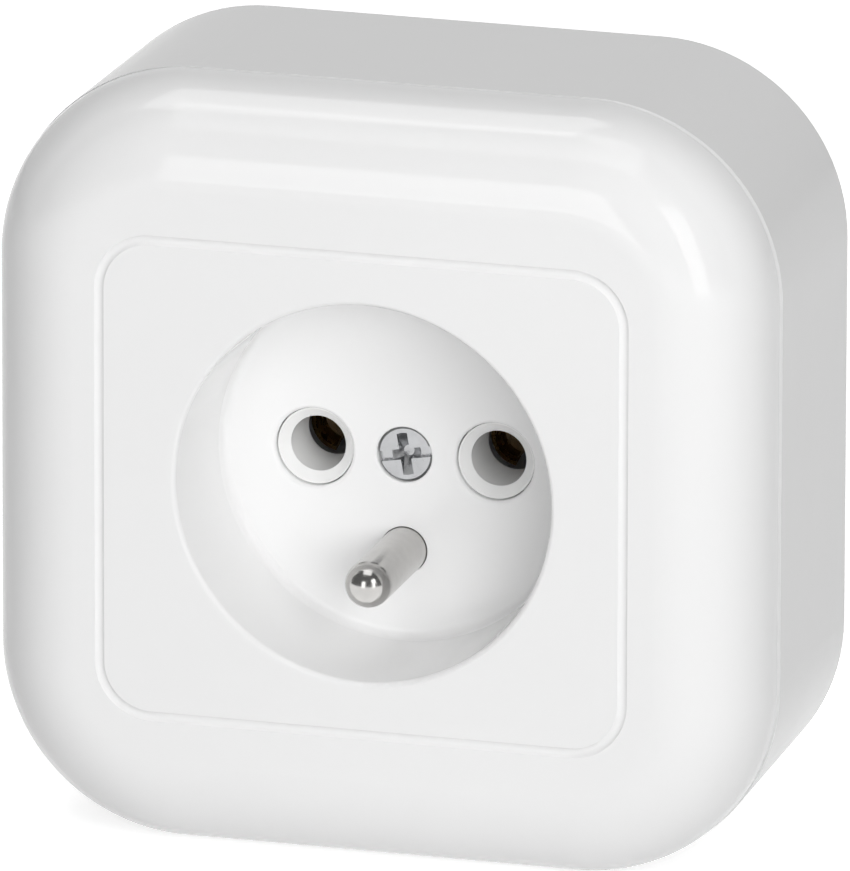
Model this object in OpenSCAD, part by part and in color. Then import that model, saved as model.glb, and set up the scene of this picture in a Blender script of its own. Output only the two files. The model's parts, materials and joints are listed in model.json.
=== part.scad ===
// Surface-mounted power socket with a round plug recess and a male earth pin.
// The wall face lies in the plane Y = 0, the front looks toward -Y and Z is up.
// The origin is the middle of the wall face. All sizes are millimetres.
// The sub-parts are drawn lying on the wall face, with their own Z axis out of
// the wall, and mounted() turns each of them upright.

/* [Front cover] */
// Width of the cover
cover_w = 81; // [78:0.2:100]
// Height of the cover
cover_h = 80.2; // [78:0.2:100]
// Radius of the cover's corners seen from the front
corner_r = 19.9; // [18:0.1:26]
// Radius of the rounded front edge
edge_r = 10; // [6:0.2:10.4]
// Straight skirt between the rounded edge and the seam
skirt_h = 0.6; // [0.4:0.1:2]
// Wall of the cover
cover_wall = 2; // [1.6:0.1:2.6]
// Chamfer on both sides of the seam
seam_chamfer = 0.3; // [0.1:0.05:0.5]
// Depth of the locating lip inside the box
lip_h = 2.5; // [1.5:0.5:5]
// Thickness of the locating lip
lip_t = 1.2; // [0.8:0.1:1.6]
// Clearance between the lip and the box wall
lip_gap = 0.2; // [0.1:0.05:0.4]
// Thickness of the ribs inside the cover
rib_t = 1.2; // [0.8:0.1:2]

/* [Engraved frame] */
// Width between the groove's centre lines
frame_w = 54.8; // [50:0.2:56]
// Height between the groove's centre lines
frame_h = 49.9; // [46:0.1:52]
// Corner radius of the groove's centre line
frame_r = 5.4; // [3:0.2:8]
// Distance of the frame's middle to the right of the recess's middle
frame_shift = -0.2; // [-1:0.1:1]
// Height of the frame's middle above the recess's middle
frame_rise = -0.2; // [-1:0.1:1]
// Width of the groove at the surface
groove_w = 1; // [0.8:0.1:2]
// Depth of the groove
groove_d = 0.25; // [0.15:0.05:0.4]

/* [Plug recess] */
// Diameter of the recess at the front
recess_d = 39.3; // [39:0.1:41]
// Diameter of the recess at its floor
recess_floor_d = 38.6; // [38:0.1:39]
// Depth of the recess
recess_depth = 15; // [14:0.5:16]
// Rounding of the recess's front edge
recess_rim_r = 0.5; // [0.2:0.1:0.8]
// Fillet between the wall and the floor of the recess
recess_fillet = 1; // [0.4:0.2:2]
// Wall of the recess
recess_wall = 1.8; // [1.4:0.1:2.4]
// Thickness of the recess floor
recess_floor_t = 2; // [1.6:0.1:2.4]

/* [Contacts and sleeves] */
// Distance between the two live contacts
contact_pitch = 19; // [18.8:0.1:19.2]
// Outer diameter of a contact sleeve
sleeve_d = 8; // [7.6:0.1:8.4]
// Bore of a contact sleeve
sleeve_bore_d = 5.8; // [5.2:0.1:6]
// How far the sleeve ends lie below the recess floor
sleeve_drop = 0.7; // [0.2:0.1:1]
// Width of the flat ring round the funnel at a sleeve's end
sleeve_land = 0.15; // [0.1:0.05:0.3]
// How far the sleeves reach below the insert's plate
sleeve_tail = 1.6; // [0.8:0.1:2]
// Gap round a sleeve in its hole in the cover
sleeve_gap = 0.1; // [0.05:0.05:0.3]
// Rounding of the holes' edges in the recess floor
hole_round = 0.4; // [0.1:0.05:0.5]
// Bore of the sprung contacts
contact_bore_d = 4.6; // [4.2:0.1:4.8]
// Sheet thickness of the sprung contacts
contact_t = 0.4; // [0.3:0.1:0.8]
// Height of the sprung contacts
contact_h = 6; // [5:0.5:7]
// Gap between a sleeve's inner end and its contact
contact_gap = 2; // [0.4:0.2:3]
// Slot between the two fingers of a contact
contact_slot = 1.2; // [0.6:0.1:1.6]
// How far a contact's mouth flares out
flare = 0.5; // [0.2:0.1:0.6]
// Height of the flared mouth
flare_h = 2; // [1:0.2:2.4]
// Wire thickness of the clip round the contact fingers
clip_t = 0.5; // [0.3:0.1:0.6]
// Height of the clip round the contact fingers
clip_h = 2.2; // [1.5:0.1:2.4]

/* [Earth pin] */
// Diameter of the earth pin
pin_d = 4.8; // [4.7:0.05:4.9]
// Distance from the contacts' line down to the earth pin
pin_drop = 10; // [9.8:0.1:10.2]
// How far the pin's tip lies below the front face
pin_tip_drop = 0.1; // [0:0.1:2]
// Gap round the pin in its hole in the cover
pin_gap = 0.05; // [0.05:0.05:0.2]
// Diameter of the collar that holds the pin
pin_collar_d = 7; // [6:0.2:7.6]
// Height of that collar
pin_collar_h = 2.5; // [1.5:0.5:3]
// Diameter of the pin's root inside the insert
pin_root_d = 5.2; // [5.2:0.05:5.6]
// How far the shoulder of the root lies below the recess floor
pin_root_drop = 0.6; // [0.5:0.1:1]
// How far the tapering neck above the shoulder stands out of the recess floor
pin_neck_rise = 0.1; // [0.05:0.05:0.3]
// How far the neck widens down to the shoulder
pin_neck_taper = 0.03; // [0.02:0.01:0.05]
// Diameter of the riveted tail below the collar
pin_tail_d = 3.6; // [3:0.2:4]
// How far the rivet stands out round the tail
rivet_margin = 0.9; // [0.6:0.1:1.2]
// Height of the rivet under the strap
rivet_h = 0.8; // [0.5:0.1:1.2]

/* [Screws] */
// Head diameter of the cover screw
screw_head_d = 5.6; // [5:0.1:5.6]
// Head height of the cover screw
screw_head_h = 1.9; // [1.5:0.1:2.2]
// How far the cover screw's head lies below the recess floor
screw_drop = 0.4; // [0.1:0.1:1]
// Diameter of the cover screw's hole in the recess floor
screw_hole_d = 5.8; // [5.7:0.1:6.2]
// Thickness of the ledge under the cover screw's head
boss_ledge = 2; // [1.5:0.1:2.5]
// Wall of the boss round the cover screw
boss_wall = 1.4; // [1:0.1:2]
// Thread diameter of the metal screws
thread_d = 3; // [2.5:0.5:3]
// Thread diameter of the self-tapping screws
tap_d = 2.9; // [2.5:0.1:3.2]
// Head diameter of the smaller screws
small_head_d = 5; // [4.6:0.1:5.4]
// Head height of the smaller screws
small_head_h = 1.6; // [1.2:0.1:2]
// How far a post stands out round the head of its screw
post_margin = 0.6; // [0.2:0.1:0.8]
// How far a boss in the box stands out round the head of its screw
boss_margin = 1; // [0.5:0.1:1.5]
// Clearance of a thread in its hole
thread_gap = 0.05; // [0.02:0.01:0.1]
// Clearance of a screw in a hole that it passes through
pass_gap = 0.3; // [0.2:0.05:0.5]

/* [Box] */
// Distance from the wall face to the front face
total_depth = 37.5; // [37:0.5:50]
// How far the box stands out past the cover at the left and right
box_ledge = 0.15; // [0:0.05:0.4]
// How far the box sides lean in from the seam to the wall
box_draft = 0.4; // [0:0.05:1]
// Wall of the box
box_wall = 2; // [1.6:0.1:2.6]
// Floor of the box
box_floor = 2; // [1.8:0.1:2.4]
// Rounding of the box's edge at the wall
back_round = 0.5; // [0.2:0.1:1]
// Distance between the wall slots, left to right
slot_dx = 52; // [50:1:54]
// Distance between the wall slots, top to bottom
slot_dy = 52; // [50:1:54]
// Width of a wall slot
slot_w = 4.4; // [4:0.1:5]
// Length of a wall slot, end to end
slot_l = 8; // [6:0.5:9]
// Skin left at the cable knock-outs
knockout_skin = 0.8; // [0.5:0.1:1]
// Width of the knock-outs in the top and bottom walls
knockout_w = 16; // [10:1:20]
// Height of those knock-outs out of the wall
knockout_h = 12; // [8:1:14]
// Distance of those knock-outs from the box's floor
knockout_rise = 4; // [2:0.5:5]
// Diameter of the round knock-outs in the floor
knockout_d = 15; // [10:1:16]
// Distance of the round knock-outs from the middle
knockout_y = 28; // [27:0.5:29]

/* [Insert] */
// Width of the moulded insert
insert_w = 46; // [44:0.5:48]
// Height of the moulded insert
insert_h = 36; // [35:0.5:38]
// Wall of the insert
insert_wall = 1.6; // [1.2:0.1:2]
// Thickness of the insert's front plate
insert_plate = 2; // [1.6:0.1:2.4]
// Floor of the insert
insert_floor = 1.2; // [1:0.1:1.4]
// Height of the insert's front half
insert_front_h = 7; // [6.5:0.5:8]
// Distance between the insert's fixing screws
ear_pitch = 54; // [52:0.5:56]
// Thickness of the ears that take those screws
ear_t = 3; // [2:0.5:4]
// Width of the ears
ear_w = 9; // [8:0.5:10]
// Distance of the screws that close the insert from its sides
close_inset = 4; // [3.8:0.1:5]
// Wall of the round supports under the earth strap
support_wall = 1; // [0.8:0.1:1.2]
// Room round the rivet and the tapped collar in those supports
support_gap = 0.3; // [0.2:0.1:0.5]

/* [Terminals] */
// Width and length of a terminal block
term_w = 7; // [6:0.5:7.5]
// Height of a terminal block
term_h = 7; // [6.5:0.5:8]
// Distance of the terminals above the contacts' line
term_y = 11.5; // [11:0.5:12]
// Width of the wire opening in a terminal
term_open_w = 4.4; // [3.5:0.1:4.6]
// Height of the wire opening in a terminal
term_open_h = 3.4; // [2.5:0.1:3.6]
// Metal below the wire opening
term_base = 1.4; // [1:0.1:1.6]
// Clearance of a metal tongue in its terminal
tongue_gap = 0.1; // [0.05:0.05:0.2]
// Gap round a terminal in the insert's front plate
window_gap = 0.1; // [0.05:0.05:0.3]
// Thickness of the earth strap
strap_t = 1; // [0.8:0.1:1.2]
// Width of the earth strap
strap_w = 7.6; // [7:0.2:8]
// Height of the tapped collar under the strap
collar_h = 1.6; // [1:0.1:2]
// Wall of that collar
collar_wall = 0.9; // [0.6:0.1:1.2]

/* [Hidden] */
$fn = 72;
eps = 0.01;

// Heights above the wall face
z_seam = total_depth - edge_r - skirt_h;
z_recess = total_depth - recess_depth;
z_recess_under = z_recess - recess_floor_t;
z_insert = z_recess - screw_drop - screw_head_h - boss_ledge;
z_plate = z_insert - insert_plate;
z_split = z_insert - insert_front_h;
z_strap = z_split - strap_t;
z_sleeve_end = z_recess - sleeve_drop;
z_sleeve_tail = z_plate - sleeve_tail;
z_contact_top = z_sleeve_tail - contact_gap;
z_contact = z_contact_top - contact_h;
z_insert_floor = box_floor + insert_floor;
z_shoulder = z_recess - pin_root_drop;
z_neck = z_recess + pin_neck_rise;

// Plan sizes
box_w = cover_w + 2 * box_ledge;
cover_x = cover_w / 2 - corner_r;
cover_y = cover_h / 2 - corner_r;
contact_x = contact_pitch / 2;
contact_out_r = contact_bore_d / 2 + contact_t;
pin_r = pin_d / 2;
pin_root_r = pin_root_d / 2;
pin_neck_r = pin_r + pin_neck_taper;
pin_hole_r = pin_root_r + pin_gap;
shoulder_h = pin_root_r - pin_neck_r;
rivet_r = pin_tail_d / 2 + rivet_margin;
collar_r = thread_d / 2 + collar_wall;
sleeve_hole_r = sleeve_d / 2 + sleeve_gap;
screw_pass_r = thread_d / 2 + pass_gap;
tap_pass_r = tap_d / 2 + pass_gap;
post_r = small_head_d / 2 + post_margin;
close_x = insert_w / 2 - close_inset;
close_y = insert_h / 2 - close_inset;
tongue_w = term_open_w - 2 * tongue_gap;
tongue_lift = term_base + tongue_gap;
z_live_term = z_contact - tongue_lift;
z_earth_term = z_strap - tongue_lift;

// Turns a sub-part from lying on its wall face to hanging on the wall.
module mounted() {
    rotate([90, 0, 0]) children();
}

// Repeats its children at +x and -x.
module both_sides(x) {
    for (side = [-1, 1]) {
        translate([side * x, 0, 0]) children();
    }
}

// Sweeps a section round a rounded rectangle. The section's X starts on the
// line through the corner centres and its Y is the height above the wall.
module swept_round(w, h, r) {
    for (turn = [0:3]) {
        side_x = (turn == 0 || turn == 3) ? 1 : -1;
        side_y = turn < 2 ? 1 : -1;
        translate([side_x * (w / 2 - r), side_y * (h / 2 - r), 0])
            rotate([0, 0, 90 * turn])
                rotate_extrude(angle = 90) children();
        length = (turn % 2 == 0 ? h : w) - 2 * r;
        out = (turn % 2 == 0 ? w : h) / 2 - r;
        rotate([0, 0, 90 * turn])
            translate([out, length / 2, 0])
                rotate([90, 0, 0])
                    linear_extrude(length) children();
    }
}

// Fills the rectangle between the corner centres of a swept shape.
module middle_slab(w, h, r, z, t) {
    translate([r - w / 2, r - h / 2, z]) cube([w - 2 * r, h - 2 * r, t]);
}

// A hole's cutter whose front edge is rounded by `round` at height z_front.
module rounded_hole(r, z_from, z_front, round) {
    rotate_extrude() {
        translate([0, z_from]) square([r, z_front - z_from + 1]);
        difference() {
            translate([r - eps, z_front - round]) square([round + eps, round + 1]);
            translate([r + round, z_front - round]) circle(round);
        }
    }
}

// Section of the cover's shell, from the corner centre outward.
module cover_section() {
    inner_r = edge_r - cover_wall;
    difference() {
        translate([0, z_seam]) {
            square([corner_r - edge_r, skirt_h + edge_r]);
            square([corner_r, skirt_h]);
            translate([corner_r - edge_r, skirt_h]) {
                intersection() {
                    circle(edge_r);
                    square(edge_r);
                }
            }
        }
        translate([0, z_seam - 1]) {
            square([corner_r - cover_wall, skirt_h + 1]);
            square([corner_r - edge_r, skirt_h + 1 + inner_r]);
        }
        translate([corner_r - edge_r, z_seam + skirt_h]) circle(inner_r);
        translate([corner_r, z_seam]) rotate(45) square(seam_chamfer * sqrt(2), center = true);
    }
}

// Section of the lip that locates the cover in the box.
module lip_section() {
    outer = corner_r - box_wall - lip_gap;
    root_h = edge_r / 2;
    translate([outer - lip_t, z_seam - lip_h]) square([lip_t, lip_h + skirt_h + root_h]);
    translate([outer - eps, z_seam + skirt_h]) {
        square([corner_r - cover_wall - outer + lip_gap, root_h]);
    }
}

// Section of the box's floor and wall, from the corner centre outward.
module box_section() {
    foot = corner_r - box_draft;
    difference() {
        polygon([
            [0, 0],
            [foot, 0],
            [corner_r, z_seam],
            [corner_r - box_wall, z_seam],
            [foot - box_wall, box_floor],
            [0, box_floor]
        ]);
        translate([corner_r, z_seam]) rotate(45) square(seam_chamfer * sqrt(2), center = true);
        translate([foot - back_round, 0]) {
            difference() {
                translate([0, -1]) square(back_round + 1);
                translate([0, back_round]) circle(back_round);
                translate([-1, back_round]) square(back_round + 3);
            }
        }
    }
}

// Space of the plug recess, cut out of the cover.
module recess_space() {
    floor_r = recess_floor_d / 2;
    front_r = recess_d / 2;
    rotate_extrude() {
        difference() {
            polygon([
                [0, z_recess],
                [floor_r, z_recess],
                [floor_r, z_recess + recess_fillet],
                [front_r, total_depth - recess_rim_r],
                [front_r, total_depth + 1],
                [0, total_depth + 1]
            ]);
            translate([floor_r - recess_fillet, z_recess]) {
                difference() {
                    square(recess_fillet);
                    translate([0, recess_fillet]) circle(recess_fillet);
                }
            }
        }
        difference() {
            translate([front_r - eps, total_depth - recess_rim_r]) {
                square([recess_rim_r + eps, recess_rim_r + 1]);
            }
            translate([front_r + recess_rim_r, total_depth - recess_rim_r]) circle(recess_rim_r);
        }
    }
}

// Wall and floor that stand behind the plug recess.
module recess_cup() {
    front_r = recess_d / 2 + recess_wall;
    floor_r = recess_floor_d / 2 + recess_wall;
    z_top = total_depth - cover_wall / 2;
    translate([0, 0, z_recess_under]) {
        cylinder(r1 = floor_r, r2 = front_r, h = z_top - z_recess_under);
    }
}

// Hole for the earth pin in the recess floor, with a seat for the pin's shoulder.
module pin_hole() {
    mouth_r = pin_r + pin_gap;
    mouth_bevel = 0.05;
    rotate_extrude() {
        polygon([
            [0, z_recess_under - 1],
            [pin_hole_r, z_recess_under - 1],
            [pin_hole_r, z_shoulder - shoulder_h],
            [pin_neck_r + pin_gap, z_shoulder],
            [mouth_r, z_recess - mouth_bevel],
            [mouth_r + mouth_bevel, z_recess],
            [mouth_r + mouth_bevel, z_recess + 1],
            [0, z_recess + 1]
        ]);
    }
}

// Round-bottomed groove of the engraved frame.
module frame_groove() {
    tool_r = (groove_w * groove_w / 4 + groove_d * groove_d) / (2 * groove_d);
    translate([frame_shift, frame_rise, 0]) {
        swept_round(frame_w, frame_h, frame_r) {
            translate([frame_r, total_depth + tool_r - groove_d]) circle(tool_r);
        }
    }
}

// Diagonal ribs between the recess and the corners of the cover.
module cover_ribs() {
    reach = edge_r - cover_wall;
    rise = 1;
    for (turn = [0:3]) {
        side_x = (turn == 0 || turn == 3) ? 1 : -1;
        side_y = turn < 2 ? 1 : -1;
        far = norm([cover_x, cover_y]) + corner_r - edge_r + reach / 2;
        near = recess_d / 2 + recess_wall / 2;
        translate([0, 0, z_seam + skirt_h + rise]) {
            rotate([0, 0, atan2(side_y * cover_y, side_x * cover_x)]) {
                translate([near, -rib_t / 2, 0]) {
                    cube([far - near, rib_t, edge_r - cover_wall / 2 - rise]);
                }
            }
        }
    }
}

module front_cover() {
    boss_r = screw_hole_d / 2 + boss_wall;
    color("white") mounted() difference() {
        union() {
            swept_round(cover_w, cover_h, corner_r) cover_section();
            middle_slab(cover_w, cover_h, corner_r, total_depth - cover_wall, cover_wall);
            swept_round(box_w, cover_h, corner_r) lip_section();
            cover_ribs();
            recess_cup();
            translate([0, 0, z_insert]) cylinder(r = boss_r, h = z_recess_under - z_insert + eps);
        }
        recess_space();
        frame_groove();
        both_sides(contact_x) {
            rounded_hole(sleeve_hole_r, z_recess_under - 1, z_recess, hole_round);
        }
        translate([0, -pin_drop, 0]) pin_hole();
        rounded_hole(screw_hole_d / 2, z_insert + boss_ledge, z_recess, hole_round / 2);
        translate([0, 0, z_insert - 1]) cylinder(r = screw_pass_r, h = boss_ledge + 2);
    }
}

// One of the four slots that take the wall screws.
module wall_slot() {
    straight = slot_l - slot_w;
    translate([-straight / 2, -slot_w / 2, -1]) cube([straight, slot_w, box_floor + 2]);
    both_sides(straight / 2) translate([0, 0, -1]) cylinder(d = slot_w, h = box_floor + 2);
}

// Thin spots that are broken out for the cable.
module knockouts() {
    wall_in = cover_h / 2 - box_draft - knockout_skin;
    knock_z = box_floor + knockout_rise;
    for (side = [-1, 1]) {
        translate([0, side * knockout_y, knockout_skin]) cylinder(d = knockout_d, h = box_floor);
        pad(0, side * (wall_in - box_wall / 2), knockout_w, box_wall, knock_z, knock_z + knockout_h);
    }
}

module back_box() {
    boss_h = z_split - ear_t;
    boss_out = ear_pitch / 2 + small_head_d / 2;
    wall_x = box_w / 2 - box_wall - box_draft;
    rib_top = boss_h - 2;
    color("white") mounted() difference() {
        union() {
            swept_round(box_w, cover_h, corner_r) box_section();
            middle_slab(box_w, cover_h, corner_r, 0, box_floor);
            both_sides(ear_pitch / 2) cylinder(r = small_head_d / 2 + boss_margin, h = boss_h);
            for (side = [-1, 1]) {
                pad(side * (wall_x + boss_out) / 2, 0, wall_x - boss_out + boss_margin, rib_t, 0, rib_top);
            }
        }
        both_sides(ear_pitch / 2) {
            translate([0, 0, box_floor]) cylinder(r = tap_d / 2 + thread_gap, h = boss_h);
        }
        both_sides(slot_dx / 2) {
            for (side = [-1, 1]) {
                translate([0, side * slot_dy / 2, 0]) wall_slot();
            }
        }
        knockouts();
    }
}

// Upright block centred on x and y, between two heights.
module pad(x, y, w, l, z_low, z_high) {
    translate([x - w / 2, y - l / 2, z_low]) cube([w, l, z_high - z_low]);
}

module insert_shell(z_low, z_high) {
    difference() {
        pad(0, 0, insert_w, insert_h, z_low, z_high);
        pad(0, 0, insert_w - 2 * insert_wall, insert_h - 2 * insert_wall, z_low - 1, z_high + 1);
    }
}

module insert_base() {
    ear_x = ear_pitch / 2;
    ear_reach = ear_x - insert_w / 2 + ear_w / 2 + insert_wall / 2;
    rivet_room_r = rivet_r + support_gap;
    collar_room_r = collar_r + support_gap;
    seat_l = 1.6;
    partition_over = 2;
    partition_x = contact_x / 2;
    seat_y = (contact_out_r + term_y - term_w / 2) / 2;
    color("gainsboro") mounted() difference() {
        union() {
            insert_shell(box_floor, z_split);
            pad(0, 0, insert_w - insert_wall, insert_h - insert_wall, box_floor, z_insert_floor);
            for (side = [-1, 1]) {
                pad(side * (insert_w / 2 - insert_wall / 2 + ear_reach / 2), 0,
                    ear_reach, ear_w, z_split - ear_t, z_split);
                pad(side * contact_x, term_y, term_w, term_w, box_floor, z_live_term);
                pad(side * contact_x, seat_y, tongue_w, seat_l, box_floor, z_contact);
                pad(side * partition_x, term_y, rib_t, term_w + partition_over, box_floor, z_split);
                translate([side * close_x, -close_y, box_floor]) {
                    cylinder(r = post_r, h = z_split - box_floor);
                }
            }
            pad(0, term_y, term_w, term_w, box_floor, z_earth_term);
            translate([0, 0, box_floor]) {
                cylinder(r = collar_room_r + support_wall, h = z_strap - box_floor);
            }
            translate([0, -pin_drop, box_floor]) {
                cylinder(r = rivet_room_r + support_wall, h = z_strap - box_floor);
            }
        }
        both_sides(ear_x) {
            translate([0, 0, z_split - ear_t - 1]) cylinder(r = tap_pass_r, h = ear_t + 2);
        }
        both_sides(close_x) {
            translate([0, -close_y, z_insert_floor]) {
                cylinder(r = tap_d / 2 + thread_gap, h = z_split);
            }
        }
        translate([0, 0, z_insert_floor]) cylinder(r = collar_room_r, h = z_split);
        translate([0, -pin_drop, z_insert_floor]) cylinder(r = rivet_room_r, h = z_split);
    }
}

// Contact sleeve with a funnel at its open end.
module sleeve() {
    bore_r = sleeve_bore_d / 2;
    mouth_r = sleeve_d / 2 - sleeve_land;
    rotate_extrude() {
        polygon([
            [bore_r, z_sleeve_tail],
            [sleeve_d / 2, z_sleeve_tail],
            [sleeve_d / 2, z_sleeve_end],
            [mouth_r, z_sleeve_end],
            [bore_r, z_sleeve_end - (mouth_r - bore_r)]
        ]);
    }
}

module insert_front() {
    window = term_w + 2 * window_gap;
    color("white") mounted() difference() {
        union() {
            insert_shell(z_split, z_insert);
            difference() {
                pad(0, 0, insert_w - insert_wall, insert_h - insert_wall, z_plate, z_insert);
                both_sides(contact_x) {
                    translate([0, 0, z_plate - 1]) cylinder(r = sleeve_d / 2 - eps, h = insert_plate + 2);
                }
            }
            both_sides(contact_x) sleeve();
            translate([0, 0, z_split]) cylinder(r = strap_w / 2, h = z_plate - z_split + eps);
            translate([0, -pin_drop, z_split + pin_collar_h]) {
                cylinder(r = strap_w / 2, h = z_plate - z_split - pin_collar_h + eps);
            }
            both_sides(close_x) {
                translate([0, -close_y, z_split]) cylinder(r = post_r, h = z_plate - z_split + eps);
            }
        }
        translate([0, 0, z_split - 1]) cylinder(r = screw_pass_r, h = insert_front_h + 2);
        translate([0, -pin_drop, z_split - 1]) cylinder(r = pin_hole_r, h = insert_front_h + 2);
        both_sides(close_x) {
            translate([0, -close_y, z_split - 1]) cylinder(r = tap_pass_r, h = insert_front_h + 2);
        }
        for (x = [-contact_x, 0, contact_x]) {
            pad(x, term_y, window, window, z_plate - 1, z_insert + 1);
        }
    }
}

// Sprung contact: a slotted tube with a flared mouth and a tongue to its terminal.
module live_contact() {
    bore_r = contact_bore_d / 2;
    root_h = 1.6;
    tongue_l = term_y + term_w / 2 - contact_out_r + contact_t;
    difference() {
        union() {
            rotate_extrude() {
                polygon([
                    [bore_r, z_contact],
                    [contact_out_r, z_contact],
                    [contact_out_r, z_contact_top - flare_h],
                    [contact_out_r + flare, z_contact_top],
                    [bore_r + flare, z_contact_top],
                    [bore_r, z_contact_top - flare_h]
                ]);
            }
            translate([-tongue_w / 2, contact_out_r - contact_t, z_contact]) {
                cube([tongue_w, tongue_l, contact_t]);
            }
        }
        translate([-contact_slot / 2, -2 * contact_out_r, z_contact + root_h]) {
            cube([contact_slot, 4 * contact_out_r, contact_h]);
        }
        translate([0, 0, z_contact - 1]) cylinder(r = bore_r, h = root_h + 1);
    }
}

module line_contact() {
    color("goldenrod") mounted() translate([-contact_x, 0, 0]) live_contact();
}

module neutral_contact() {
    color("goldenrod") mounted() translate([contact_x, 0, 0]) live_contact();
}

// Open ring of spring steel that presses the contact's fingers together.
module contact_clip() {
    gap_angle = 70;
    inner_r = contact_out_r + thread_gap;
    translate([0, 0, z_contact_top - flare_h - clip_h]) {
        rotate([0, 0, gap_angle / 2 - 90]) {
            rotate_extrude(angle = 360 - gap_angle) {
                translate([inner_r, 0]) square([clip_t, clip_h]);
            }
        }
    }
}

module line_contact_clip() {
    color("silver") mounted() translate([-contact_x, 0, 0]) contact_clip();
}

module neutral_contact_clip() {
    color("silver") mounted() translate([contact_x, 0, 0]) contact_clip();
}

// Terminal block with a wire opening along Y and a screw hole from the front.
module terminal(z_low) {
    translate([0, term_y, z_low]) {
        difference() {
            pad(0, 0, term_w, term_w, 0, term_h);
            pad(0, 0, term_open_w, term_w + 2, term_base, term_base + term_open_h);
            translate([0, 0, term_base + term_open_h - 1]) {
                cylinder(r = thread_d / 2 + thread_gap, h = term_h);
            }
        }
    }
}

module line_terminal() {
    color("gold") mounted() translate([-contact_x, 0, 0]) terminal(z_live_term);
}

module neutral_terminal() {
    color("gold") mounted() translate([contact_x, 0, 0]) terminal(z_live_term);
}

module earth_terminal() {
    color("gold") mounted() terminal(z_earth_term);
}

// Slotted screw with a cheese head, standing on its seat at height z_seat.
module slotted_screw(z_seat, shank_d, shank_l) {
    groove = 0.8;
    difference() {
        translate([0, 0, z_seat]) cylinder(d = small_head_d, h = small_head_h);
        translate([0, 0, z_seat + small_head_h]) {
            cube([small_head_d + 1, groove, small_head_h], center = true);
        }
    }
    translate([0, 0, z_seat - shank_l]) cylinder(d = shank_d, h = shank_l + eps);
}

module terminal_screw(z_low) {
    wall_above = term_h - term_base - term_open_h;
    head_lift = 0.6;
    tip_reach = 0.8;
    translate([0, term_y, 0]) {
        slotted_screw(z_low + term_h + head_lift, thread_d, wall_above + head_lift + tip_reach);
    }
}

module line_terminal_screw() {
    color("silver") mounted() translate([-contact_x, 0, 0]) terminal_screw(z_live_term);
}

module neutral_terminal_screw() {
    color("silver") mounted() translate([contact_x, 0, 0]) terminal_screw(z_live_term);
}

module earth_terminal_screw() {
    color("silver") mounted() terminal_screw(z_earth_term);
}

// Flat strap from the earth pin to the earth terminal, tapped for the cover screw.
module earth_strap() {
    neck_gap = 0.6;
    end_y = -pin_drop - strap_w / 2;
    neck_y = term_y - term_w / 2 - neck_gap;
    color("goldenrod") mounted() difference() {
        union() {
            pad(0, (end_y + neck_y) / 2, strap_w, neck_y - end_y, z_strap, z_split);
            pad(0, (neck_y + term_y + term_w / 2) / 2, tongue_w,
                term_y + term_w / 2 - neck_y + eps, z_strap, z_strap + strap_t);
            translate([0, 0, z_strap - collar_h]) cylinder(r = collar_r, h = collar_h + eps);
        }
        translate([0, 0, z_strap - collar_h - 1]) {
            cylinder(r = thread_d / 2 + thread_gap, h = collar_h + strap_t + 2);
        }
        translate([0, -pin_drop, z_strap - 1]) {
            cylinder(r = pin_tail_d / 2 + thread_gap, h = strap_t + 2);
        }
    }
}

// Earth pin with a round nose, a shoulder, a collar and a tail riveted under the strap.
module earth_pin() {
    z_nose = total_depth - pin_tip_drop - pin_r;
    color("silver") mounted() translate([0, -pin_drop, 0]) {
        rotate_extrude() {
            translate([0, z_nose]) {
                intersection() {
                    circle(pin_r);
                    square(pin_r);
                }
            }
            polygon([
                [0, z_strap - rivet_h],
                [rivet_r, z_strap - rivet_h],
                [rivet_r, z_strap],
                [pin_tail_d / 2, z_strap],
                [pin_tail_d / 2, z_split],
                [pin_collar_d / 2, z_split],
                [pin_collar_d / 2, z_split + pin_collar_h],
                [pin_root_r, z_split + pin_collar_h],
                [pin_root_r, z_shoulder - shoulder_h],
                [pin_neck_r, z_shoulder],
                [pin_r, z_neck],
                [pin_r, z_nose],
                [0, z_nose]
            ]);
        }
    }
}

// Tapering cross of four arms whose tip lies at z_tip.
module cross_recess(z_tip, deep, l, t) {
    over = 1;
    slope = (l - t) / 2 / deep;
    intersection() {
        union() {
            pad(0, 0, 2 * l, t, z_tip - over, z_tip + deep + over);
            pad(0, 0, t, 2 * l, z_tip - over, z_tip + deep + over);
        }
        translate([0, 0, z_tip]) cylinder(r1 = t / 2, r2 = t / 2 + slope * (deep + over), h = deep + over);
    }
}

// Cover screw with a slot and a cross recess in its head.
module cover_screw() {
    head_r = screw_head_d / 2;
    z_seat = z_insert + boss_ledge;
    turned = 10;
    bevel = 0.15;
    slot_t = 1.1;
    slot_deep = 0.6;
    cross_l = 4.4;
    cross_t = 1.1;
    cross_deep = 1.5;
    below_strap = 2;
    z_top = z_seat + screw_head_h;
    shank_l = z_seat - z_strap + below_strap;
    color("silver") mounted() rotate([0, 0, turned]) difference() {
        rotate_extrude() {
            polygon([
                [0, z_seat - shank_l],
                [thread_d / 2 - bevel, z_seat - shank_l],
                [thread_d / 2, z_seat - shank_l + bevel],
                [thread_d / 2, z_seat],
                [head_r, z_seat],
                [head_r, z_top - bevel],
                [head_r - bevel, z_top],
                [0, z_top]
            ]);
        }
        pad(0, 0, screw_head_d + 1, slot_t, z_top - slot_deep, z_top + 1);
        cross_recess(z_top - cross_deep, cross_deep, cross_l, cross_t);
    }
}

module insert_fixing_screw() {
    reach = z_split - ear_t - z_insert_floor;
    slotted_screw(z_split, tap_d, ear_t + reach);
}

module insert_fixing_screw_left() {
    color("silver") mounted() translate([-ear_pitch / 2, 0, 0]) insert_fixing_screw();
}

module insert_fixing_screw_right() {
    color("silver") mounted() translate([ear_pitch / 2, 0, 0]) insert_fixing_screw();
}

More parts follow.
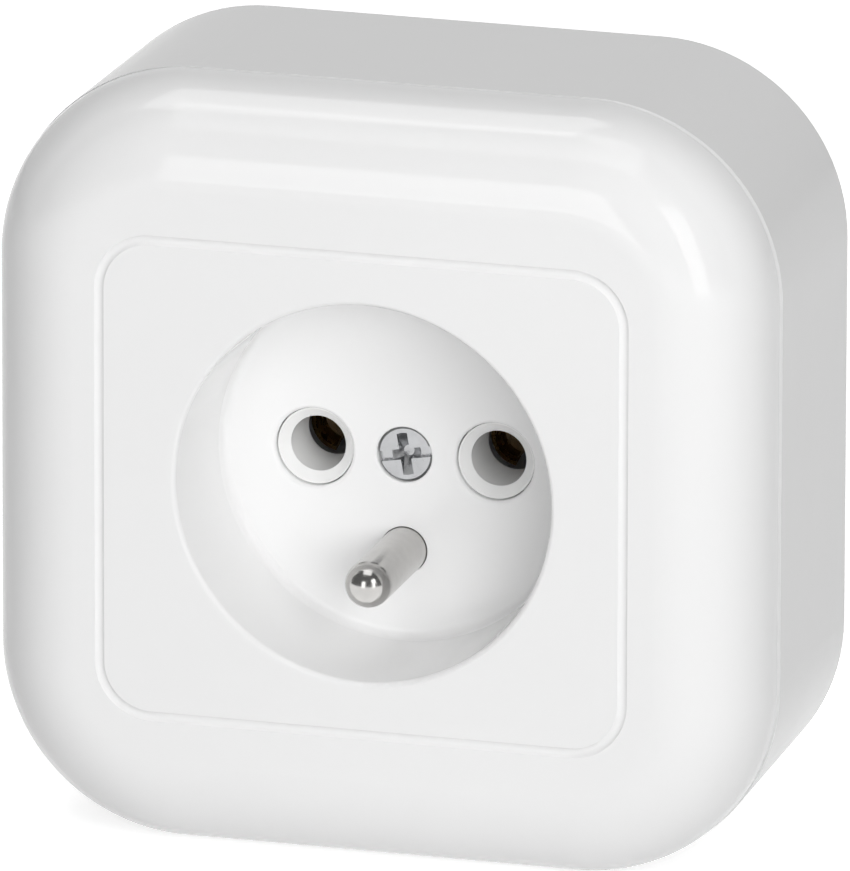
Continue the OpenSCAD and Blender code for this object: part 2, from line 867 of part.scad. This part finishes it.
module insert_closing_screw() {
    bite = 6;
    translate([0, -close_y, 0]) slotted_screw(z_insert, tap_d, insert_front_h + bite);
}

module insert_closing_screw_left() {
    color("silver") mounted() translate([-close_x, 0, 0]) insert_closing_screw();
}

module insert_closing_screw_right() {
    color("silver") mounted() translate([close_x, 0, 0]) insert_closing_screw();
}

back_box();
front_cover();
insert_base();
insert_front();
line_contact();
neutral_contact();
line_contact_clip();
neutral_contact_clip();
line_terminal();
neutral_terminal();
earth_terminal();
line_terminal_screw();
neutral_terminal_screw();
earth_terminal_screw();
earth_strap();
earth_pin();
cover_screw();
insert_fixing_screw_left();
insert_fixing_screw_right();
insert_closing_screw_left();
insert_closing_screw_right();
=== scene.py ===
"""Looks, light and camera for the white surface-mounted power socket."""
import json
import math

import bpy
from mathutils import Matrix, Vector


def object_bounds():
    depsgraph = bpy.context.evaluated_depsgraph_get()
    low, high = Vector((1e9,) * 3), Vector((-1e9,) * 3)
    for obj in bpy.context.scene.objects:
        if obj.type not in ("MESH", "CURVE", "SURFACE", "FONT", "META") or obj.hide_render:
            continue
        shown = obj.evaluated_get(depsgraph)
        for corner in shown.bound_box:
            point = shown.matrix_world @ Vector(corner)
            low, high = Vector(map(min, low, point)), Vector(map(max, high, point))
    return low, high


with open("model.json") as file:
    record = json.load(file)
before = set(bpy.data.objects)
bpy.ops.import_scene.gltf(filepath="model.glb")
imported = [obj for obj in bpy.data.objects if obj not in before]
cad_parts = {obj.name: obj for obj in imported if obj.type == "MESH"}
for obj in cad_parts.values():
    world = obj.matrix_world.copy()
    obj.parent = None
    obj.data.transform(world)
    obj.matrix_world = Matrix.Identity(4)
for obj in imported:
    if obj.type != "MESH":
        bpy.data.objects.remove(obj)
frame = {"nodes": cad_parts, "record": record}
nodes = frame["nodes"]
cad_low, cad_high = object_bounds()

MM = 0.001
WHITE = (1, 1, 1, 1)
BLACK = (0, 0, 0, 1)

# The photograph's view: direction from the object, distance and the point in the picture's middle
VIEW_AZIMUTH = 16.297
VIEW_ELEVATION = 16.26
VIEW_ROLL = -0.131
VIEW_DISTANCE = 2.0
VIEW_TARGET = Vector((3.66, -27.5, 3.749)) * MM
PICTURE_LONG_SIDE = 871
PIXELS_PER_MM = 9.934
SENSOR_WIDTH = 36.0
CLIP_NEAR = 0.05
CLIP_FAR = 50

# The earth pin's round nose, and where its tip begins on the unit ball
PIN_BALL_CENTRE = Vector((0, -35, -10)) * MM
TIP_BEGINS = -0.9
TIP_FULL = -0.97

# The studio, in metres
LAMP_DISTANCE = 1.4
TABLE_SIZE = 8.0
TABLE_FRONT = 0.7
TABLE_COLOUR = (0.8, 0.8, 0.8, 1)
TABLE_GLOW = 0.72
ROOM_RADIUS = 3.5
ROOM_GLOW = 0.15
ROOM_STEP = 10
ROOM_AZIMUTHS = range(-80, 81, ROOM_STEP)
ROOM_ELEVATIONS = range(0, 81, ROOM_STEP)
AMBIENT = 0.05

# Lamps: name, azimuth, elevation, width, height and watts
SOFT_BOXES = [
    ("key", 41, 16, 0.42, 1.0, 3.2),
    ("front_box", -10, 11, 0.42, 0.7, 1.95),
    ("overhead", 0, 75, 0.9, 0.9, 3.5),
    ("left_top", -120, 71, 0.9, 0.4, 2.1),
]
FILLS = [
    ("fill_right", 35, 25, 0.7, 0.7, 3.4),
    ("low_right", 35, 5, 0.7, 0.5, 2.8),
    ("back_fill", 180, 10, 0.15, 0.3, 6.5),
    ("view_fill", 20, 12, 0.5, 0.5, 2.55),
    ("high_front", -3, 50, 0.7, 0.7, 1.3),
]


def direction(azimuth, elevation):
    """Unit vector from the object, with azimuth 0 in front of it and growing to its right."""
    az = math.radians(azimuth)
    el = math.radians(elevation)
    return Vector((math.sin(az) * math.cos(el), -math.cos(az) * math.cos(el), math.sin(el)))


def add_object(name, data):
    thing = bpy.data.objects.new(name, data)
    bpy.context.scene.collection.objects.link(thing)
    return thing


def make_camera():
    """Camera of the photograph, rolled a little about its view axis."""
    back = direction(VIEW_AZIMUTH, VIEW_ELEVATION)
    roll = math.radians(VIEW_ROLL)
    level_right = Vector((0, 0, 1)).cross(back).normalized()
    level_up = back.cross(level_right)
    right = level_right * math.cos(roll) - level_up * math.sin(roll)
    up = level_right * math.sin(roll) + level_up * math.cos(roll)
    data = bpy.data.cameras.new("camera")
    data.sensor_width = SENSOR_WIDTH
    data.lens = PIXELS_PER_MM / MM * VIEW_DISTANCE / PICTURE_LONG_SIDE * SENSOR_WIDTH
    data.clip_start = CLIP_NEAR
    data.clip_end = CLIP_FAR
    camera = add_object("camera", data)
    turn = Matrix((right, up, back)).transposed().to_4x4()
    camera.matrix_world = Matrix.Translation(VIEW_TARGET + back * VIEW_DISTANCE) @ turn
    bpy.context.scene.camera = camera


class Graph:
    """A new material's node tree, with short calls for its nodes and links."""

    def __init__(self, name):
        self.material = bpy.data.materials.new(name)
        self.material.use_nodes = True
        self.tree = self.material.node_tree
        self.shader = self.tree.nodes["Principled BSDF"]
        self.coords = self.add("ShaderNodeTexCoord").outputs["Object"]

    def add(self, kind, **values):
        """Node of a kind, with each value set on the property or the input of that name."""
        node = self.tree.nodes.new(kind)
        for key, value in values.items():
            if hasattr(node, key):
                setattr(node, key, value)
            else:
                node.inputs[key.replace("_", " ").title()].default_value = value
        return node

    def link(self, source, target):
        self.tree.links.new(source, target)

    def set(self, socket, value):
        self.shader.inputs[socket].default_value = value

    def drive(self, socket, source):
        self.link(source, self.shader.inputs[socket])

    def noise(self, scale, detail):
        node = self.add("ShaderNodeTexNoise", scale=scale, detail=detail, roughness=0.5)
        self.link(self.coords, node.inputs["Vector"])
        return node.outputs["Fac"]

    def spread(self, value, low, high, source_low=0.3, source_high=0.7):
        """The value's source range stretched to low and high."""
        node = self.add("ShaderNodeMapRange")
        node.inputs["From Min"].default_value = source_low
        node.inputs["From Max"].default_value = source_high
        node.inputs["To Min"].default_value = low
        node.inputs["To Max"].default_value = high
        self.link(value, node.inputs["Value"])
        return node.outputs["Result"]

    def tint(self, value, colour, darkening):
        """Base colour that goes from a darker shade to the colour itself."""
        shade = [c * darkening for c in colour]
        ramp = self.add("ShaderNodeValToRGB")
        dark, light = ramp.color_ramp.elements
        dark.position = 0.3
        dark.color = (*shade, 1)
        light.position = 0.7
        light.color = (*colour, 1)
        self.link(value, ramp.inputs["Fac"])
        self.drive("Base Color", ramp.outputs["Color"])

    def bump(self, height, strength, distance, under=None):
        node = self.add("ShaderNodeBump", strength=strength, distance=distance)
        self.link(height, node.inputs["Height"])
        if under:
            self.link(under, node.inputs["Normal"])
        return node.outputs["Normal"]


def moulded_plastic(name, colour, gloss):
    """Plastic with a faint waviness and the fine grain of its mould."""
    g = Graph(name)
    g.tint(g.noise(scale=18, detail=3), colour, darkening=0.985)
    g.drive("Roughness", g.spread(g.noise(scale=60, detail=4), gloss, gloss + 0.04))
    g.set("IOR", 1.5)
    g.set("Specular IOR Level", 0.4)
    swell = g.bump(g.noise(scale=45, detail=1), strength=0.05, distance=0.6 * MM)
    grain = g.noise(scale=2600, detail=2)
    g.drive("Normal", g.bump(grain, strength=0.02, distance=0.05 * MM, under=swell))
    return g.material


def turned_graph(name, colour, roughness, ring_scale, wear=0.0):
    """Graph of a turned metal and its normal, with tool rings and small marks of wear."""
    g = Graph(name)
    g.set("Metallic", 1.0)
    g.tint(g.noise(scale=700, detail=4), colour, darkening=0.9)
    polish = g.noise(scale=900, detail=3)
    g.drive("Roughness", g.spread(polish, roughness, roughness + 0.08))
    rings = g.add("ShaderNodeTexWave", scale=ring_scale, distortion=1.5, detail=2.0)
    rings.bands_direction = "Y"
    g.link(g.coords, rings.inputs["Vector"])
    turned = g.bump(rings.outputs["Fac"], strength=0.08, distance=0.04 * MM)
    marks = g.noise(scale=2400, detail=4)
    return g, g.bump(marks, strength=wear, distance=0.06 * MM, under=turned)


def turned_metal(name, colour, roughness, ring_scale, wear=0.0):
    g, normal = turned_graph(name, colour, roughness, ring_scale, wear)
    g.drive("Normal", normal)
    return g.material


def polished_pin(name, colour, roughness, ring_scale):
    """Turned nickel whose nose is shaded as the true ball, also at its very tip."""
    g, turned = turned_graph(name, colour, roughness, ring_scale)
    place = g.add("ShaderNodeNewGeometry")
    outward = g.add("ShaderNodeVectorMath", operation="SUBTRACT")
    outward.inputs[1].default_value = PIN_BALL_CENTRE
    g.link(place.outputs["Position"], outward.inputs[0])
    ball = g.add("ShaderNodeVectorMath", operation="NORMALIZE")
    g.link(outward.outputs["Vector"], ball.inputs[0])
    split = g.add("ShaderNodeSeparateXYZ")
    g.link(ball.outputs["Vector"], split.inputs["Vector"])
    tip = g.spread(split.outputs["Y"], 0.0, 1.0, source_low=TIP_BEGINS, source_high=TIP_FULL)
    # A vector mix keeps its two vectors on inputs 4 and 5, and its result on output 1
    mix = g.add("ShaderNodeMix", data_type="VECTOR")
    g.link(tip, mix.inputs["Factor"])
    g.link(turned, mix.inputs[4])
    g.link(ball.outputs["Vector"], mix.inputs[5])
    g.drive("Normal", mix.outputs[1])
    return g.material


def rolled_sheet(name, colour, roughness):
    """Sheet metal with the long grain of its rolling."""
    g = Graph(name)
    g.set("Metallic", 1.0)
    g.tint(g.noise(scale=500, detail=5), colour, darkening=0.8)
    polish = g.noise(scale=1200, detail=3)
    g.drive("Roughness", g.spread(polish, roughness, roughness + 0.12))
    stretch = g.add("ShaderNodeMapping", scale=(4000, 4000, 300))
    g.link(g.coords, stretch.inputs["Vector"])
    grain = g.add("ShaderNodeTexNoise", scale=1.0, detail=2.0)
    g.link(stretch.outputs["Vector"], grain.inputs["Vector"])
    g.drive("Normal", g.bump(grain.outputs["Fac"], strength=0.1, distance=0.03 * MM))
    return g.material


# The maker of each material slot's finish and the look that it gets
FINISHES = {
    "cover_plastic": (moulded_plastic, {"colour": (0.95, 0.95, 0.95), "gloss": 0.04}),
    # box_plastic is the cover's white plastic made darker: painted shade on the box's sides, which
    # face away from the lamps
    "box_plastic": (moulded_plastic, {"colour": (0.81, 0.81, 0.81), "gloss": 0.2}),
    "insert_plastic": (moulded_plastic, {"colour": (0.94, 0.94, 0.935), "gloss": 0.2}),
    # contact_brass is darker than the terminals' brass: painted shade on the contacts deep inside
    # the sleeves
    "contact_brass": (rolled_sheet, {"colour": (0.5, 0.32, 0.13), "roughness": 0.2}),
    "terminal_brass": (
        turned_metal,
        {"colour": (0.8, 0.62, 0.33), "roughness": 0.25, "ring_scale": 900},
    ),
    "spring_steel": (rolled_sheet, {"colour": (0.5, 0.5, 0.52), "roughness": 0.25}),
    "nickel_pin": (
        polished_pin,
        {"colour": (0.57, 0.56, 0.545), "roughness": 0.14, "ring_scale": 1200},
    ),
    "zinc_screw": (
        turned_metal,
        {"colour": (0.5, 0.505, 0.515), "roughness": 0.2, "ring_scale": 800, "wear": 0.5},
    ),
}


def dress_nodes():
    """Each solid gets the finish that its material slot names."""
    finishes = {slot: make(slot, **look) for slot, (make, look) in FINISHES.items()}
    for part in frame["record"]["subparts"]:
        piece = nodes[part["node"]]
        piece.data.materials.clear()
        piece.data.materials.append(finishes[part["material_slot"]])


def seen_level(tree, hidden, seen):
    """The seen value for camera, glossy and transmission rays, the hidden one for the rest."""
    path = tree.nodes.new("ShaderNodeLightPath")
    total = path.outputs["Is Camera Ray"]
    for kind in ("Is Glossy Ray", "Is Transmission Ray"):
        add = tree.nodes.new("ShaderNodeMath")
        add.operation = "MAXIMUM"
        tree.links.new(total, add.inputs[0])
        tree.links.new(path.outputs[kind], add.inputs[1])
        total = add.outputs[0]
    level = tree.nodes.new("ShaderNodeMapRange")
    level.inputs["To Min"].default_value = hidden
    level.inputs["To Max"].default_value = seen
    tree.links.new(total, level.inputs["Value"])
    return level.outputs["Result"]


def make_world():
    """White backdrop that lights the object only a little."""
    world = bpy.data.worlds.new("studio")
    bpy.context.scene.world = world
    world.use_nodes = True
    tree = world.node_tree
    background = tree.nodes["Background"]
    background.inputs["Color"].default_value = WHITE
    strength = seen_level(tree, hidden=AMBIENT, seen=1.0)
    tree.links.new(strength, background.inputs["Strength"])


def make_backdrop(name, corners, faces, colour):
    """Matt piece of the studio that may glow; gives the object and its material's tree."""
    mesh = bpy.data.meshes.new(name)
    mesh.from_pydata(corners, [], faces)
    backdrop = add_object(name, mesh)
    material = bpy.data.materials.new(name)
    material.use_nodes = True
    shader = material.node_tree.nodes["Principled BSDF"]
    shader.inputs["Base Color"].default_value = colour
    shader.inputs["Roughness"].default_value = 0.9
    shader.inputs["Specular IOR Level"].default_value = 0.0
    shader.inputs["Emission Color"].default_value = WHITE
    mesh.materials.append(material)
    return backdrop, material.node_tree


def make_floor():
    """Pale table whose own glow makes it white to the camera while it keeps the shadow."""
    half = TABLE_SIZE / 2
    z = cad_low.z
    corners = [(-half, -TABLE_FRONT, z), (half, -TABLE_FRONT, z), (half, half, z), (-half, half, z)]
    floor, tree = make_backdrop("floor", corners, [(0, 1, 2, 3)], TABLE_COLOUR)
    shader = tree.nodes["Principled BSDF"]
    glow = seen_level(tree, hidden=0.0, seen=TABLE_GLOW)
    tree.links.new(glow, shader.inputs["Emission Strength"])


def make_dark_room():
    """The unlit half of the studio behind the camera, which only reflections show."""
    corners = [direction(az, el) * ROOM_RADIUS for el in ROOM_ELEVATIONS for az in ROOM_AZIMUTHS]
    row = len(ROOM_AZIMUTHS)
    faces = [
        (r * row + c, r * row + c + 1, (r + 1) * row + c + 1, (r + 1) * row + c)
        for r in range(len(ROOM_ELEVATIONS) - 1)
        for c in range(row - 1)
    ]
    room, tree = make_backdrop("dark_room", corners, faces, BLACK)
    tree.nodes["Principled BSDF"].inputs["Emission Strength"].default_value = ROOM_GLOW
    for rays in ("camera", "diffuse", "transmission", "volume_scatter", "shadow"):
        setattr(room, "visible_" + rays, False)


def make_lamp(name, azimuth, elevation, width, height, power, mirrored):
    """Soft rectangular lamp that faces the object; shiny metal shows it when it is mirrored."""
    aim = direction(azimuth, elevation)
    data = bpy.data.lights.new(name, "AREA")
    data.shape = "RECTANGLE"
    data.size = width
    data.size_y = height
    data.energy = power
    lamp = add_object(name, data)
    lamp.visible_camera = False
    lamp.visible_glossy = mirrored
    lamp.location = VIEW_TARGET + aim * LAMP_DISTANCE
    lamp.rotation_mode = "QUATERNION"
    lamp.rotation_quaternion = aim.to_track_quat("Z", "Y")


def make_lights():
    make_world()
    make_dark_room()
    for lamp in SOFT_BOXES:
        make_lamp(*lamp, mirrored=True)
    for lamp in FILLS:
        make_lamp(*lamp, mirrored=False)


dress_nodes()
make_camera()
make_floor()
make_lights()
bpy.context.scene.view_settings.view_transform = "Standard"
